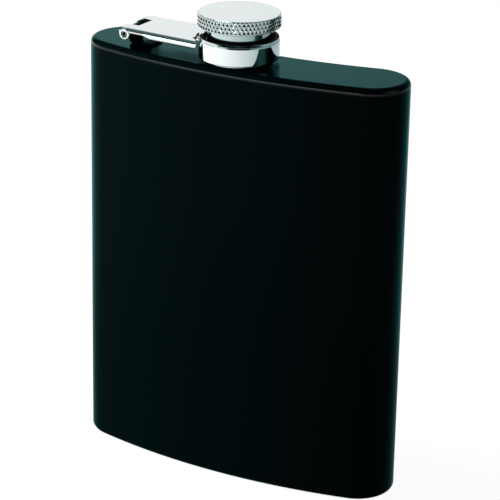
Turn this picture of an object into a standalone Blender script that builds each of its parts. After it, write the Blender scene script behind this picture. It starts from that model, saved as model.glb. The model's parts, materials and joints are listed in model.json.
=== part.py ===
"""Hip flask with a captive screw cap on a hinged arm.

Frame: metres, +Z up. The origin is on the underside of the base, below the axis of the neck.
+X runs along the width, and the convex face of the bent body looks towards -Y.
Every length below is written in millimetres and becomes metres where a mesh is made.
"""
import math

import bmesh
import bpy
from mathutils import Matrix, Vector

MM = 0.001

# Clearances: joints that are brazed or seated, pieces that slide, the pin in its knuckles,
# and the hair by which bodies that are united stay off each other's faces
SEAM_GAP = 0.3
SLIDE_GAP = 0.3
PIN_GAP = 0.2
HAIR = 0.05

# Body: a sheet tube with the plan of a bent stadium, closed by two pressed end plates
BODY_WIDTH = 95.0
BODY_DEPTH = 21.0
BODY_HEIGHT = 117.5
BEND_RADIUS = 157.5
BODY_WALL = 0.6
EDGE_ROUND = 1.6
SKIRT_LAND = 0.8

# Neck: a turned tube with a foot on the top plate and a right-hand outside thread
NECK_RISE = 9.0
NECK_BORE_RADIUS = 5.6
NECK_WALL = 1.6
FOOT_FLANGE = 2.0
FOOT_THICKNESS = 0.5
SPIGOT_STEP = 0.3
SPIGOT_DEPTH = 1.6
THREAD_DEPTH = 0.5
THREAD_PITCH = 1.5
THREAD_TURNS = 2
THREAD_LEAD_IN = 0.3

# Cap: a knurled crown, a threaded sleeve that passes through the arm's ring, and a sealing pad
PAD_THICKNESS = 2.1
CROWN_HEIGHT = 3.8
CROWN_ROOF = 1.6
CROWN_RIM = 1.7
CROWN_CHAMFER = 0.35
CAP_THREAD_CLEARANCE = 0.55
CAP_THREAD_DEPTH = 0.4
SLEEVE_WALL = 0.5
SLEEVE_FLANGE = 0.7
SLEEVE_LIP = 0.55

# Collar: a shallow cup round the neck that takes the lower end of the sleeve
COLLAR_WALL = 0.85
COLLAR_FLOOR = 0.7
COLLAR_SUMP = 0.4
COLLAR_CHAMFER = 0.2

# Hinge: a fixed strap brazed to the top plate, a riveted pin, and the swinging arm with its ring.
# The yaw, in degrees, turns the whole hinge about the neck to follow the bend of the body.
HINGE_REACH = 31.6
ARM_YAW = 2.0
PIN_RISE = 3.75
PIN_RADIUS = 0.75
PIN_PROUD = 0.1
KNUCKLE_RADIUS = 1.65
KNUCKLE_PROUD = 0.15
SHEET = 0.7
STRAP_WIDTH = 6.0
STRAP_SETBACK = 0.25
STRAP_LEAF = 5.5
LIP_PROUD = 0.35
LIP_WIDTH = 2.2
NOTCH_CLEARANCE = 0.35
ARM_WIDTH_AT_PIN = 15.0
ARM_WIDTH_AT_RING = 16.4
ARM_FLANGE = 2.05
ARM_FLANGE_AT_PIN = 1.4
FLANGE_GROWS_FROM = 5.5
FLANGE_GROWS_TO = 8.5
ARM_BEND = 0.6
STEP_RUN = 0.9
STEP_SEAT = 1.0

# Fineness of the facets
ARC_STEPS = 10
END_STEPS = 10
ROUND_STEPS = 4
TURN_STEPS = 48
SECTOR_STEPS = 14
PIN_STEPS = 20
ROWS_PER_PITCH = 5

# Heights that follow from the sizes above
BODY_TOP = BODY_HEIGHT
CAP_LIFT = THREAD_TURNS * THREAD_PITCH
NECK_TOP = BODY_TOP + NECK_RISE
THREAD_TOP = NECK_TOP - THREAD_LEAD_IN
THREAD_BOTTOM = THREAD_TOP - CAP_LIFT
FOOT_BOTTOM = BODY_TOP + SEAM_GAP
COLLAR_BOTTOM = FOOT_BOTTOM + FOOT_THICKNESS + SEAM_GAP
FLANGE_BOTTOM = COLLAR_BOTTOM + COLLAR_FLOOR + COLLAR_SUMP
FLANGE_TOP = FLANGE_BOTTOM + SLEEVE_FLANGE
COLLAR_TOP = FLANGE_TOP + CAP_LIFT
RING_BOTTOM = COLLAR_TOP + SLIDE_GAP
RING_TOP = RING_BOTTOM + SHEET
PAD_BOTTOM = NECK_TOP + SEAM_GAP
PAD_TOP = PAD_BOTTOM + PAD_THICKNESS
CROWN_CEILING = PAD_TOP + SEAM_GAP
CROWN_TOP = CROWN_CEILING + CROWN_ROOF
CROWN_BOTTOM = CROWN_TOP - CROWN_HEIGHT
PIN_Z = BODY_TOP + PIN_RISE
ARM_TOP = PIN_Z + KNUCKLE_RADIUS + HAIR

# Radii and places that follow
NECK_RADIUS = NECK_BORE_RADIUS + NECK_WALL
FOOT_RADIUS = NECK_RADIUS + FOOT_FLANGE
SPIGOT_RADIUS = NECK_RADIUS - SPIGOT_STEP
SLEEVE_BORE = NECK_RADIUS + THREAD_DEPTH + CAP_THREAD_CLEARANCE
SLEEVE_RELIEF = SLEEVE_BORE + CAP_THREAD_DEPTH
SLEEVE_RADIUS = SLEEVE_RELIEF + SLEEVE_WALL
FLANGE_RADIUS = SLEEVE_RADIUS + SLEEVE_LIP
RING_BORE = SLEEVE_RADIUS + SLIDE_GAP
CROWN_BORE = SLEEVE_RADIUS + SEAM_GAP
CROWN_RADIUS = CROWN_BORE + CROWN_RIM
COLLAR_BORE = FLANGE_RADIUS + SLIDE_GAP
COLLAR_RADIUS = COLLAR_BORE + COLLAR_WALL
COLLAR_ROOM = COLLAR_RADIUS + SEAM_GAP
PIN_X = -HINGE_REACH
PIN_HALF = ARM_WIDTH_AT_PIN / 2
RING_HALF = ARM_WIDTH_AT_RING / 2
STRAP_HALF = STRAP_WIDTH / 2

# The hinge is drawn along -X, and each piece of it hangs on an axis that carries the yaw
NECK_AXIS = Vector((0.0, 0.0, 0.0))
PIN_AXIS = Vector((PIN_X, 0.0, PIN_Z))
YAW = Matrix.Rotation(math.radians(-ARM_YAW), 3, "Z")


def start_empty():
    """Remove every object of the scene that the script runs in."""
    for old in list(bpy.data.objects):
        bpy.data.objects.remove(old, do_unlink=True)


def add_axis(name, drawn_at, turn):
    """Add an empty on the axis that its pieces turn about, turned about the neck from where it is drawn."""
    axis = bpy.data.objects.new(name, None)
    axis.location = turn @ drawn_at * MM
    axis.rotation_euler = turn.to_euler()
    axis.empty_display_size = FOOT_RADIUS * MM
    bpy.context.collection.objects.link(axis)
    return axis


def add_finish(name, colour, metallic, roughness):
    """Add a Principled material."""
    finish = bpy.data.materials.new(name)
    finish.use_nodes = True
    shader = finish.node_tree.nodes["Principled BSDF"]
    shader.inputs["Base Color"].default_value = (*colour, 1.0)
    shader.inputs["Metallic"].default_value = metallic
    shader.inputs["Roughness"].default_value = roughness
    finish.diffuse_color = (*colour, 1.0)
    return finish


def black_coat(name):
    """Satin black coating."""
    return add_finish(name, (0.006, 0.010, 0.010), 0.0, 0.42)


def chrome(name):
    """Polished plating."""
    return add_finish(name, (0.86, 0.88, 0.88), 1.0, 0.08)


def bare_steel(name):
    """Turned stainless steel."""
    return add_finish(name, (0.60, 0.60, 0.59), 1.0, 0.28)


def pale_silicone(name):
    """Milky sealing rubber."""
    return add_finish(name, (0.72, 0.72, 0.68), 0.0, 0.55)


def skin(name, rings, loop=False):
    """Join rings of equal length into one closed body with its faces pointing out.

    The first and the last ring are filled, or joined to each other when loop is true.
    """
    work = bmesh.new()
    rows = [[work.verts.new(Vector(point) * MM) for point in ring] for ring in rings]
    count = len(rows[0])
    pairs = list(zip(rows, rows[1:]))
    if loop:
        pairs.append((rows[-1], rows[0]))
    else:
        work.faces.new(rows[0])
        work.faces.new(rows[-1])
    for low, high in pairs:
        for i in range(count):
            j = (i + 1) % count
            work.faces.new((low[i], low[j], high[j], high[i]))
    bmesh.ops.recalc_face_normals(work, faces=work.faces[:])
    mesh = bpy.data.meshes.new(name)
    work.to_mesh(mesh)
    work.free()
    mesh.shade_smooth()
    mesh.set_sharp_from_angle(angle=math.radians(30))
    piece = bpy.data.objects.new(name, mesh)
    bpy.context.collection.objects.link(piece)
    return piece


def combine(piece, tool, operation):
    """Unite a tool body with a piece, or cut it away, and hide the tool."""
    tool.hide_render = True
    tool.display_type = "WIRE"
    step = piece.modifiers.new(tool.name, "BOOLEAN")
    step.operation = operation
    step.solver = "EXACT"
    step.object = tool


def hang(piece, axis, drawn_at):
    """Move a piece and its modifiers' tools from where they are drawn to the axis that carries them."""
    for vertex in piece.data.vertices:
        vertex.co -= drawn_at * MM
    piece.parent = axis
    for step in piece.modifiers:
        hang(step.object, axis, drawn_at)


def finish_with(piece, finish):
    """Give a piece its material."""
    piece.data.materials.append(finish)
    return piece


def arc(centre, radius, start, end, steps):
    """Points along an arc in the XY plane, from one angle to another."""
    angles = [start + (end - start) * i / steps for i in range(steps + 1)]
    return [(centre[0] + radius * math.cos(a), centre[1] + radius * math.sin(a)) for a in angles]


def body_outline(inset, z):
    """The bent stadium: all points that lie half a depth, less the inset, from the bent centre line."""
    half = BODY_DEPTH / 2 - inset
    reach = math.asin((BODY_WIDTH - BODY_DEPTH) / 2 / BEND_RADIUS)
    down = -math.pi / 2
    bend = (0.0, BEND_RADIUS)
    right = (BEND_RADIUS * math.sin(reach), BEND_RADIUS * (1 - math.cos(reach)))
    left = (-right[0], right[1])
    front = arc(bend, BEND_RADIUS + half, down - reach, down + reach, ARC_STEPS)
    right_end = arc(right, half, down + reach, down + reach + math.pi, END_STEPS)
    back = arc(bend, BEND_RADIUS - half, down + reach, down - reach, ARC_STEPS)
    left_end = arc(left, half, down - reach + math.pi, down - reach + 2 * math.pi, END_STEPS)
    loop = front[:-1] + right_end[:-1] + back[:-1] + left_end[:-1]
    return [(x, y, z) for x, y in loop]


def body_wrap():
    """The rolled sheet between the two end plates."""
    low = EDGE_ROUND + SKIRT_LAND + SEAM_GAP
    high = BODY_HEIGHT - low
    rings = [
        body_outline(0.0, low),
        body_outline(0.0, high),
        body_outline(BODY_WALL, high),
        body_outline(BODY_WALL, low),
    ]
    return skin("body_wrap", rings, loop=True)


def end_plate(name, level, inward):
    """A pressed plate with a rounded edge and a short skirt, at a level, its skirt going inward."""
    inner_round = max(EDGE_ROUND - BODY_WALL, HAIR)
    turns = [math.pi / 2 * i / ROUND_STEPS for i in range(ROUND_STEPS + 1)]
    skirt = level + inward * (EDGE_ROUND + SKIRT_LAND)
    rings = []
    for turn in turns:
        depth = EDGE_ROUND * (1 - math.cos(turn))
        rings.append(body_outline(EDGE_ROUND * (1 - math.sin(turn)), level + inward * depth))
    rings.append(body_outline(0.0, skirt))
    rings.append(body_outline(BODY_WALL, skirt))
    for turn in reversed(turns):
        depth = BODY_WALL + inner_round * (1 - math.cos(turn))
        inset = BODY_WALL + inner_round * (1 - math.sin(turn))
        rings.append(body_outline(inset, level + inward * depth))
    return skin(name, rings)


def turned(name, profile, loop=False):
    """Turn (radius, height, thread depth) points about the neck's axis.

    A point with a thread depth follows a right-hand helix: its radius swells once in each pitch.
    """
    rings = []
    for radius, height, depth in profile:
        ring = []
        for i in range(TURN_STEPS):
            share = i / TURN_STEPS
            phase = (height - THREAD_TOP) / THREAD_PITCH - share
            swollen = radius + depth * (0.5 + 0.5 * math.cos(2 * math.pi * phase))
            angle = 2 * math.pi * share
            ring.append((swollen * math.cos(angle), swollen * math.sin(angle), height))
        rings.append(ring)
    return skin(name, rings, loop=loop)


def plain(*points):
    """Profile points without a thread."""
    return [(radius, height, 0.0) for radius, height in points]


def thread(radius, depth):
    """Profile points of a thread from its bottom to its top, fading in and out over a third of a pitch."""
    count = max(2, round(CAP_LIFT / THREAD_PITCH * ROWS_PER_PITCH))
    fade = THREAD_PITCH / 3
    rows = []
    for i in range(count + 1):
        above = CAP_LIFT * i / count
        share = min(1.0, above / fade, (CAP_LIFT - above) / fade)
        rows.append((radius, THREAD_BOTTOM + above, depth * share))
    return rows


def top_plate():
    """The upper end plate, with the hole that the neck's spigot goes through."""
    plate = end_plate("top_plate", BODY_TOP, -1)
    radius = SPIGOT_RADIUS + SEAM_GAP
    hole = turned("neck_hole", plain((radius, BODY_TOP - EDGE_ROUND), (radius, BODY_TOP + EDGE_ROUND)))
    combine(plate, hole, "DIFFERENCE")
    return plate


def neck():
    """The threaded spout."""
    spigot_bottom = BODY_TOP - SPIGOT_DEPTH
    foot_top = FOOT_BOTTOM + FOOT_THICKNESS
    outside = plain(
        (SPIGOT_RADIUS, spigot_bottom),
        (SPIGOT_RADIUS, FOOT_BOTTOM),
        (FOOT_RADIUS, FOOT_BOTTOM),
        (FOOT_RADIUS, foot_top),
        (NECK_RADIUS, foot_top),
    )
    mouth = plain((NECK_RADIUS, NECK_TOP), (NECK_BORE_RADIUS, NECK_TOP), (NECK_BORE_RADIUS, spigot_bottom))
    return turned("neck", outside + thread(NECK_RADIUS, THREAD_DEPTH) + mouth, loop=True)


def neck_collar():
    """The plated cup that stands on the neck's foot."""
    hole = NECK_RADIUS + SEAM_GAP
    floor = COLLAR_BOTTOM + COLLAR_FLOOR
    eased = COLLAR_RADIUS - COLLAR_CHAMFER
    profile = plain(
        (hole, COLLAR_BOTTOM),
        (eased, COLLAR_BOTTOM),
        (COLLAR_RADIUS, COLLAR_BOTTOM + COLLAR_CHAMFER),
        (COLLAR_RADIUS, COLLAR_TOP - COLLAR_CHAMFER),
        (eased, COLLAR_TOP),
        (COLLAR_BORE, COLLAR_TOP),
        (COLLAR_BORE, floor),
        (hole, floor),
    )
    return turned("neck_collar", profile, loop=True)


def cap_crown():
    """The grip of the cap, hollow below for the sleeve and the pad."""
    eased = CROWN_RADIUS - CROWN_CHAMFER
    profile = plain(
        (CROWN_BORE, CROWN_CEILING),
        (CROWN_BORE, CROWN_BOTTOM),
        (eased, CROWN_BOTTOM),
        (CROWN_RADIUS, CROWN_BOTTOM + CROWN_CHAMFER),
        (CROWN_RADIUS, CROWN_TOP - CROWN_CHAMFER),
        (eased, CROWN_TOP),
    )
    return turned("cap_crown", profile)


def cap_sleeve():
    """The threaded sleeve, with a flange below the ring that keeps the cap on the arm."""
    outside = plain(
        (SLEEVE_RADIUS, PAD_TOP),
        (SLEEVE_RADIUS, FLANGE_TOP),
        (FLANGE_RADIUS, FLANGE_TOP),
        (FLANGE_RADIUS, FLANGE_BOTTOM),
        (SLEEVE_RELIEF, FLANGE_BOTTOM),
        (SLEEVE_RELIEF, THREAD_BOTTOM - SLEEVE_FLANGE),
    )
    top = plain((SLEEVE_BORE, PAD_TOP))
    return turned("cap_sleeve", outside + thread(SLEEVE_BORE, CAP_THREAD_DEPTH) + top, loop=True)


def cap_pad():
    """The loose sealing disc between the crown's ceiling and the mouth of the neck."""
    radius = SLEEVE_BORE - SLIDE_GAP
    return turned("cap_pad", plain((radius, PAD_BOTTOM), (radius, PAD_TOP)))


def bar(name, radius, low, high):
    """A round bar along the pin's axis."""
    rings = []
    for y in (low, high):
        circle = arc((PIN_X, PIN_Z), radius, 0.0, 2 * math.pi, PIN_STEPS)[:-1]
        rings.append([(x, y, z) for x, z in circle])
    return skin(name, rings)


def block(name, low, high):
    """A block between two corners."""
    corners = [(low[0], low[1]), (high[0], low[1]), (high[0], high[1]), (low[0], high[1])]
    rings = [[(x, y, z) for x, y in corners] for z in (low[2], high[2])]
    return skin(name, rings)


def pin_bore(name):
    """The cutter for the hole of the pin."""
    return bar(name, PIN_RADIUS + PIN_GAP, -ARM_WIDTH_AT_PIN, ARM_WIDTH_AT_PIN)


def hinge_strap():
    """The fixed strap: brazed flat on the top plate, it turns up at its far end and rolls round the pin.

    A lip on the rear part of the roll is where the sheet laps over itself.
    """
    strap = bar("hinge_strap", KNUCKLE_RADIUS, -STRAP_HALF, STRAP_HALF)
    low = BODY_TOP + SEAM_GAP
    back = PIN_X - KNUCKLE_RADIUS + STRAP_SETBACK
    side = STRAP_HALF - HAIR
    leaf = block("strap_leaf", (back, -side, low), (PIN_X + STRAP_LEAF, side, low + SHEET))
    side -= HAIR
    rise = block("strap_rise", (back + HAIR, -side, low + HAIR), (back + HAIR + SHEET, side, PIN_Z))
    lip = bar("strap_lip", KNUCKLE_RADIUS + LIP_PROUD, STRAP_HALF - LIP_WIDTH, STRAP_HALF - HAIR)
    combine(strap, leaf, "UNION")
    combine(strap, rise, "UNION")
    combine(strap, lip, "UNION")
    combine(strap, pin_bore("strap_pin_bore"), "DIFFERENCE")
    return strap


def hinge_pin():
    """The riveted pin."""
    reach = PIN_HALF + KNUCKLE_PROUD + PIN_PROUD
    return bar("hinge_pin", PIN_RADIUS, -reach, reach)


def arm_section(x, side, flange):
    """A section of the arm's plate: a channel open below, with bent shoulders, reaching side each way."""
    inner = side - SHEET
    under = ARM_TOP - SHEET
    foot = ARM_TOP - flange
    eased = ARM_BEND * (1 - math.sqrt(0.5))
    half = [
        (inner, under),
        (inner, foot),
        (side, foot),
        (side, ARM_TOP - ARM_BEND),
        (side - eased, ARM_TOP - eased),
        (side - ARM_BEND, ARM_TOP),
    ]
    return [(x, y, z) for y, z in half] + [(x, -y, z) for y, z in reversed(half)]


def arm_step(name, cut):
    """The pressed step from the plate's level up to the ring's, over the plate's share of a turn."""
    outer = cut + STEP_SEAT
    reach = math.asin(min(PIN_HALF - ARM_BEND, outer) / outer)
    high = (RING_TOP - HAIR, RING_BOTTOM + HAIR)
    low = (ARM_TOP - HAIR, ARM_TOP - SHEET + HAIR)
    inside = (RING_BORE + COLLAR_RADIUS) / 2
    profile = [
        (inside, high[0]),
        (COLLAR_ROOM + HAIR, high[0]),
        (COLLAR_ROOM + HAIR + STEP_RUN, low[0]),
        (outer, low[0]),
        (outer, low[1]),
        (COLLAR_ROOM + STEP_RUN / 2, low[1]),
        (COLLAR_ROOM, high[1]),
        (inside, high[1]),
    ]
    rings = []
    for i in range(SECTOR_STEPS + 1):
        angle = math.pi + reach * (2 * i / SECTOR_STEPS - 1)
        rings.append([(r * math.cos(angle), r * math.sin(angle), z) for r, z in profile])
    return skin(name, rings)


def cap_arm():
    """The swinging arm: flanged plate, two knuckles, the step, and the ring round the cap's sleeve."""
    cut = COLLAR_ROOM + STEP_RUN / 2 + HAIR
    end = -math.sqrt(cut ** 2 - min(RING_HALF, cut - SHEET) ** 2)
    start = PIN_X - KNUCKLE_RADIUS - HAIR
    sections = []
    for x, flange in (
        (start, ARM_FLANGE_AT_PIN),
        (PIN_X + FLANGE_GROWS_FROM, ARM_FLANGE_AT_PIN),
        (PIN_X + FLANGE_GROWS_TO, ARM_FLANGE),
        (end, ARM_FLANGE),
    ):
        side = PIN_HALF + (RING_HALF - PIN_HALF) * (x - start) / (end - start)
        sections.append(arm_section(x, side, flange))
    arm = skin("cap_arm", sections)
    room = turned("arm_collar_room", plain((cut, BODY_TOP), (cut, CROWN_TOP)))
    combine(arm, room, "DIFFERENCE")
    combine(arm, arm_step("arm_step", cut), "UNION")
    ring = plain(
        (RING_BORE, RING_BOTTOM),
        (COLLAR_RADIUS, RING_BOTTOM),
        (COLLAR_RADIUS, RING_TOP),
        (RING_BORE, RING_TOP),
    )
    combine(arm, turned("arm_ring", ring, loop=True), "UNION")
    for side in (-1, 1):
        ends = sorted((side * STRAP_HALF, side * (PIN_HALF + KNUCKLE_PROUD)))
        combine(arm, bar("arm_knuckle", KNUCKLE_RADIUS, *ends), "UNION")
    reach = KNUCKLE_RADIUS + NOTCH_CLEARANCE
    width = STRAP_HALF + SLIDE_GAP
    low = (PIN_X - reach, -width, BODY_TOP)
    high = (PIN_X + reach, width, CROWN_TOP)
    combine(arm, block("arm_notch", low, high), "DIFFERENCE")
    combine(arm, pin_bore("arm_pin_bore"), "DIFFERENCE")
    return arm


def main():
    """Build every piece, and hang each on the axis that carries it."""
    start_empty()
    neck_axis = add_axis("neck_axis", NECK_AXIS, Matrix.Identity(3))
    pin_axis = add_axis("pin_axis", PIN_AXIS, YAW)
    on_neck = [
        finish_with(body_wrap(), black_coat("wrap_coat")),
        finish_with(top_plate(), black_coat("top_coat")),
        finish_with(end_plate("base_plate", 0.0, 1), black_coat("base_coat")),
        finish_with(neck(), bare_steel("neck_steel")),
        finish_with(neck_collar(), chrome("collar_chrome")),
        finish_with(cap_crown(), chrome("crown_chrome")),
        finish_with(cap_sleeve(), chrome("sleeve_chrome")),
        finish_with(cap_pad(), pale_silicone("pad_silicone")),
    ]
    on_pin = [
        finish_with(hinge_strap(), black_coat("strap_coat")),
        finish_with(hinge_pin(), bare_steel("pin_steel")),
        finish_with(cap_arm(), chrome("arm_chrome")),
    ]
    for piece in on_neck:
        hang(piece, neck_axis, NECK_AXIS)
    for piece in on_pin:
        hang(piece, pin_axis, PIN_AXIS)


main()
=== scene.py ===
"""Looks of a hip flask: a bent body in satin black, and a chromium plated collar, hinged arm and screw cap.

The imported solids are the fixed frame. Each is stood for here by a finer surface of the same size and place.
Lengths of the flask are millimetres and angles degrees, until put() makes a mesh in metres.
"""
import json
import math

import bmesh
import bpy
import numpy as np
from mathutils import Matrix, Vector


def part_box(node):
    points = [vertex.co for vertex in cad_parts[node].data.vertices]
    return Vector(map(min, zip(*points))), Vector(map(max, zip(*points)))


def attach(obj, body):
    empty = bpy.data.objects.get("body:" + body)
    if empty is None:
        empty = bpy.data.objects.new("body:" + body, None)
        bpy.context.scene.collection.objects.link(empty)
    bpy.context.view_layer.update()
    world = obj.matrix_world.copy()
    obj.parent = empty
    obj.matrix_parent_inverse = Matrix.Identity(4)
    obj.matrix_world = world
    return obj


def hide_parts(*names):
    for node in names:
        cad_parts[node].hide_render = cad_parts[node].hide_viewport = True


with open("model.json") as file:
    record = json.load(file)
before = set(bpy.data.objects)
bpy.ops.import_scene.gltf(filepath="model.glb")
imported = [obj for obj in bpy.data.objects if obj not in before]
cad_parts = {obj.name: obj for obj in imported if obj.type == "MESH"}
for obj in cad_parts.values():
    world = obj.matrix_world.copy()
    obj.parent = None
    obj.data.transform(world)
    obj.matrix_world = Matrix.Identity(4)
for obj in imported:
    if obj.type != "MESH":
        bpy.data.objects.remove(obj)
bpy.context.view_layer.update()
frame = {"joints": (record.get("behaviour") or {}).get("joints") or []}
MM = 0.001


def heights(name):
    """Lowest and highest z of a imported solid."""
    low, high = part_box(name)
    return np.array(low)[2] / MM, np.array(high)[2] / MM


def radius_of(name):
    """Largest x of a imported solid, which is the radius of one that is turned about the neck's axis."""
    return np.array(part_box(name)[1])[0] / MM


# Body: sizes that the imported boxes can't tell, and the rub along its shoulder
BODY_WIDTH = 95.0
BODY_DEPTH = 21.0
BEND_RADIUS = 157.5
BODY_WALL = 0.6
SHOULDER_ROUND = 1.6
FLAT_SHARES = (0.004, 0.25, 0.6, 0.9, 1.0)
BASE_POINT = 0.01
RUB_DEPTH = 1.25
RUB_WIDTH = 0.9

# Heights of the body's top and of its seams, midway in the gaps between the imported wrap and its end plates
BODY_TOP = heights("top_plate")[1]
SEAM_LOW = (heights("base_plate")[1] + heights("body_wrap")[0]) / 2
SEAM_HIGH = (heights("top_plate")[0] + heights("body_wrap")[1]) / 2

# Radii of eased edges
EDGE_FINE = 0.1
EDGE_PLAIN = 0.15
EDGE_SOFT = 0.2
EDGE_BROAD = 0.25

# Neck, its thread, and the hole that it stands in
NECK_BOTTOM, NECK_TOP = heights("neck")
FOOT_RADIUS = radius_of("neck")
FOOT_LOW = BODY_TOP + 0.3
FOOT_HIGH = BODY_TOP + 0.8
NECK_RADIUS = 7.2
NECK_BORE = 5.6
NECK_LIP = 0.4
BORE_END = NECK_BOTTOM + 0.5
SPIGOT_RADIUS = 6.9
NECK_HOLE = 7.2
THREAD_PITCH = 1.5
THREAD_TURNS = 2
THREAD_DEPTH = 0.5
THREAD_LEAD_IN = 0.3
THREAD_FADE = THREAD_PITCH / 3
THREAD_HIGH = NECK_TOP - THREAD_LEAD_IN
THREAD_LOW = THREAD_HIGH - THREAD_TURNS * THREAD_PITCH

# Collar, whose rim tapers in by the first of RIM_TAPER over a height of the second
COLLAR_LOW = heights("neck_collar")[0]
COLLAR_RADIUS = radius_of("neck_collar")
COLLAR_BORE = 10.0
COLLAR_HOLE = 7.5
COLLAR_FLOOR = 0.7
RIM_GAP = 0.05
RIM_TAPER = (0.08, 0.4)
RIM_EASE = 0.04

# Crown of the cap, with its knurl
CROWN_LOW, CROWN_TOP = heights("cap_crown")
CROWN_RADIUS = radius_of("cap_crown")
CROWN_BORE = 9.45
CROWN_CEILING = CROWN_TOP - 1.6
CROWN_CORNER = 0.3
CROWN_INSET = 0.05
# The crown's hollow, from HOLLOW_INSET inside the knurl's root and HOLLOW_DEPTH below the top, is darkened as
# painted shade
HOLLOW_INSET = 0.3
HOLLOW_DEPTH = 0.5
KNURL_TEETH = 60
KNURL_PERIOD = 2.05
KNURL_DEPTH = 0.36
KNURL_BLUNT = 1.1
KNURL_CHAMFER = 0.25
KNURL_LOW = CROWN_LOW + 0.3
KNURL_HIGH = CROWN_TOP - 0.28
KNURL_SHARP = 18.0

# Sleeve and sealing pad
SLEEVE_LOW, SLEEVE_TOP = heights("cap_sleeve")
FLANGE_RADIUS = radius_of("cap_sleeve")
FLANGE_HEIGHT = 0.7
SLEEVE_RADIUS = 8.45
SLEEVE_BORE = 8.0
SLEEVE_RELIEF = 8.2
SLEEVE_THREAD = 0.2
SLEEVE_LEAD_IN = 0.1
PAD_LOW, PAD_TOP = heights("cap_pad")
PAD_RADIUS = radius_of("cap_pad")
PAD_MARK = 0.12
PAD_MARK_RUN = 0.3

# Hinge: its pin comes from the swing joint, and the arm is drawn along -X before the yaw turns it
SWING = next(joint for joint in frame["joints"] if joint["name"] == "arm_swing")
PIN_PLACE = np.array(SWING["pos_m"]) / MM
PIN_X = -math.hypot(PIN_PLACE[0], PIN_PLACE[1])
PIN_Z = PIN_PLACE[2]
YAW = math.atan2(PIN_PLACE[1], -PIN_PLACE[0])
PIN_RADIUS = 0.75
PIN_HOLE = 0.95
PIN_INSET = 0.05
PIN_DOME = 0.06
PIN_EASE = 0.12
DRILL_DEPTH = 0.6
DRILL_FLOOR = 0.5
DRILL_MOUTH = 0.58
# The drilled ends are darkened as painted shade within DRILL_EDGE of the pin's axis
DRILL_EDGE = 0.53
KNUCKLE_RADIUS = 1.65
KNUCKLE_REACH = 7.65
KNUCKLE_COVER = 0.05
KNUCKLE_END = 0.4
SHEET = 0.7

# Fixed strap
STRAP_HALF = 3.0
STRAP_SETBACK = 0.25
STRAP_LEAF = 5.5
STRAP_INSET = 0.05
STRAP_EDGE = 0.12
STRAP_FOLD = 0.9
STRAP_FOLD_INSIDE = 0.3
LIP_RADIUS = 2.0
LIP_START = 0.8

# Arm: its channel of bent sheet, whose flanges grow between two distances from the pin
NOTCH_HALF = 3.3
NOTCH_END = PIN_X + 2.0
ARM_LEFT = PIN_X - KNUCKLE_RADIUS - KNUCKLE_COVER
ARM_TOP = PIN_Z + KNUCKLE_RADIUS + KNUCKLE_COVER
ARM_CUT = COLLAR_RADIUS + 0.8
ARM_HALF_AT_PIN = 7.5
ARM_HALF_AT_RING = 8.2
ARM_FLANGE = 2.05
ARM_FLANGE_AT_PIN = 1.4
FLANGE_GROWS = (5.5, 8.5)
FLANGE_SLANT = 0.2
ARM_BEND = 0.95
ARM_CURL = 0.85
CURL_TURN = 50.0

# Arm: its ring, and the step from the plate up to it
RING_TOP = heights("cap_arm")[1]
RING_LOW = RING_TOP - SHEET
RING_RADIUS = COLLAR_RADIUS
RING_BORE = 9.45
RING_LEAN = 0.14
RING_DROP = 0.08
RING_EASE = 0.03
RING_CROWN = 0.6
# Band of the ring's top under the crown that is painted near black as shade
RING_SHADE_INSET = 0.25
RING_SHADE_RISE = 0.2
ROOT_EDGE = -9.0
STEP_LAP = 0.5
STEP_BEND = 0.25
STEP_FOOT = RING_RADIUS + 0.3
STEP_RUN = 0.9
STEP_END = ARM_CUT + 1.0
STEP_EASE = 0.45
STEP_SINK = 0.02
STEP_REACH = 24.0
STEP_BULGE = 0.3

# Fineness of the surfaces, as counts of steps, rows or columns
BEND_STEPS = 96
END_STEPS = 48
TURN_STEPS = 192
PIN_STEPS = 48
EASE_STEPS = 6
THREAD_ROWS = 32
KNURL_ROWS = 48
KNURL_STEPS = 16 * KNURL_TEETH
ARM_ROWS = 40
TAB_ROWS = 7
FLAT_COLUMNS = 8
FOLD_COLUMNS = 9
CURL_COLUMNS = 7
STEP_COLUMNS = 33

# Guard beside an eased edge, distance within which points are welded, and angle from which an edge is sharp
GUARD = 0.03
WELD = 0.002
SHARP = 38.0

# Sockets of a colour Mix node
MIX_FIRST = 6
MIX_SECOND = 7
MIX_RESULT = 2

WHITE = "#FFFFFF"


def linear(code):
    """Linear colour of an sRGB hex code."""
    share = np.array([int(code[i:i + 2], 16) for i in (1, 3, 5)]) / 255
    return (*np.where(share <= 0.04045, share / 12.92, ((share + 0.055) / 1.055) ** 2.4), 1.0)


def node(tree, kind, links=(), **settings):
    """Add a node to a tree.

    Settings name its properties or, with in_NAME, its sockets. Links are (socket, output) pairs.
    """
    made = tree.nodes.new(kind)
    for key, value in settings.items():
        if key.startswith("in_"):
            made.inputs[key[3:].replace("_", " ")].default_value = value
        else:
            setattr(made, key, value)
    for socket, output in links:
        tree.links.new(output, made.inputs[socket])
    return made


def new_material(name):
    """A node material, its tree, its Principled shader and its Object coordinates."""
    made = bpy.data.materials.new(name)
    made.use_nodes = True
    tree = made.node_tree
    shader = tree.nodes["Principled BSDF"]
    place = node(tree, "ShaderNodeTexCoord").outputs["Object"]
    return made, tree, shader, place


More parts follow.
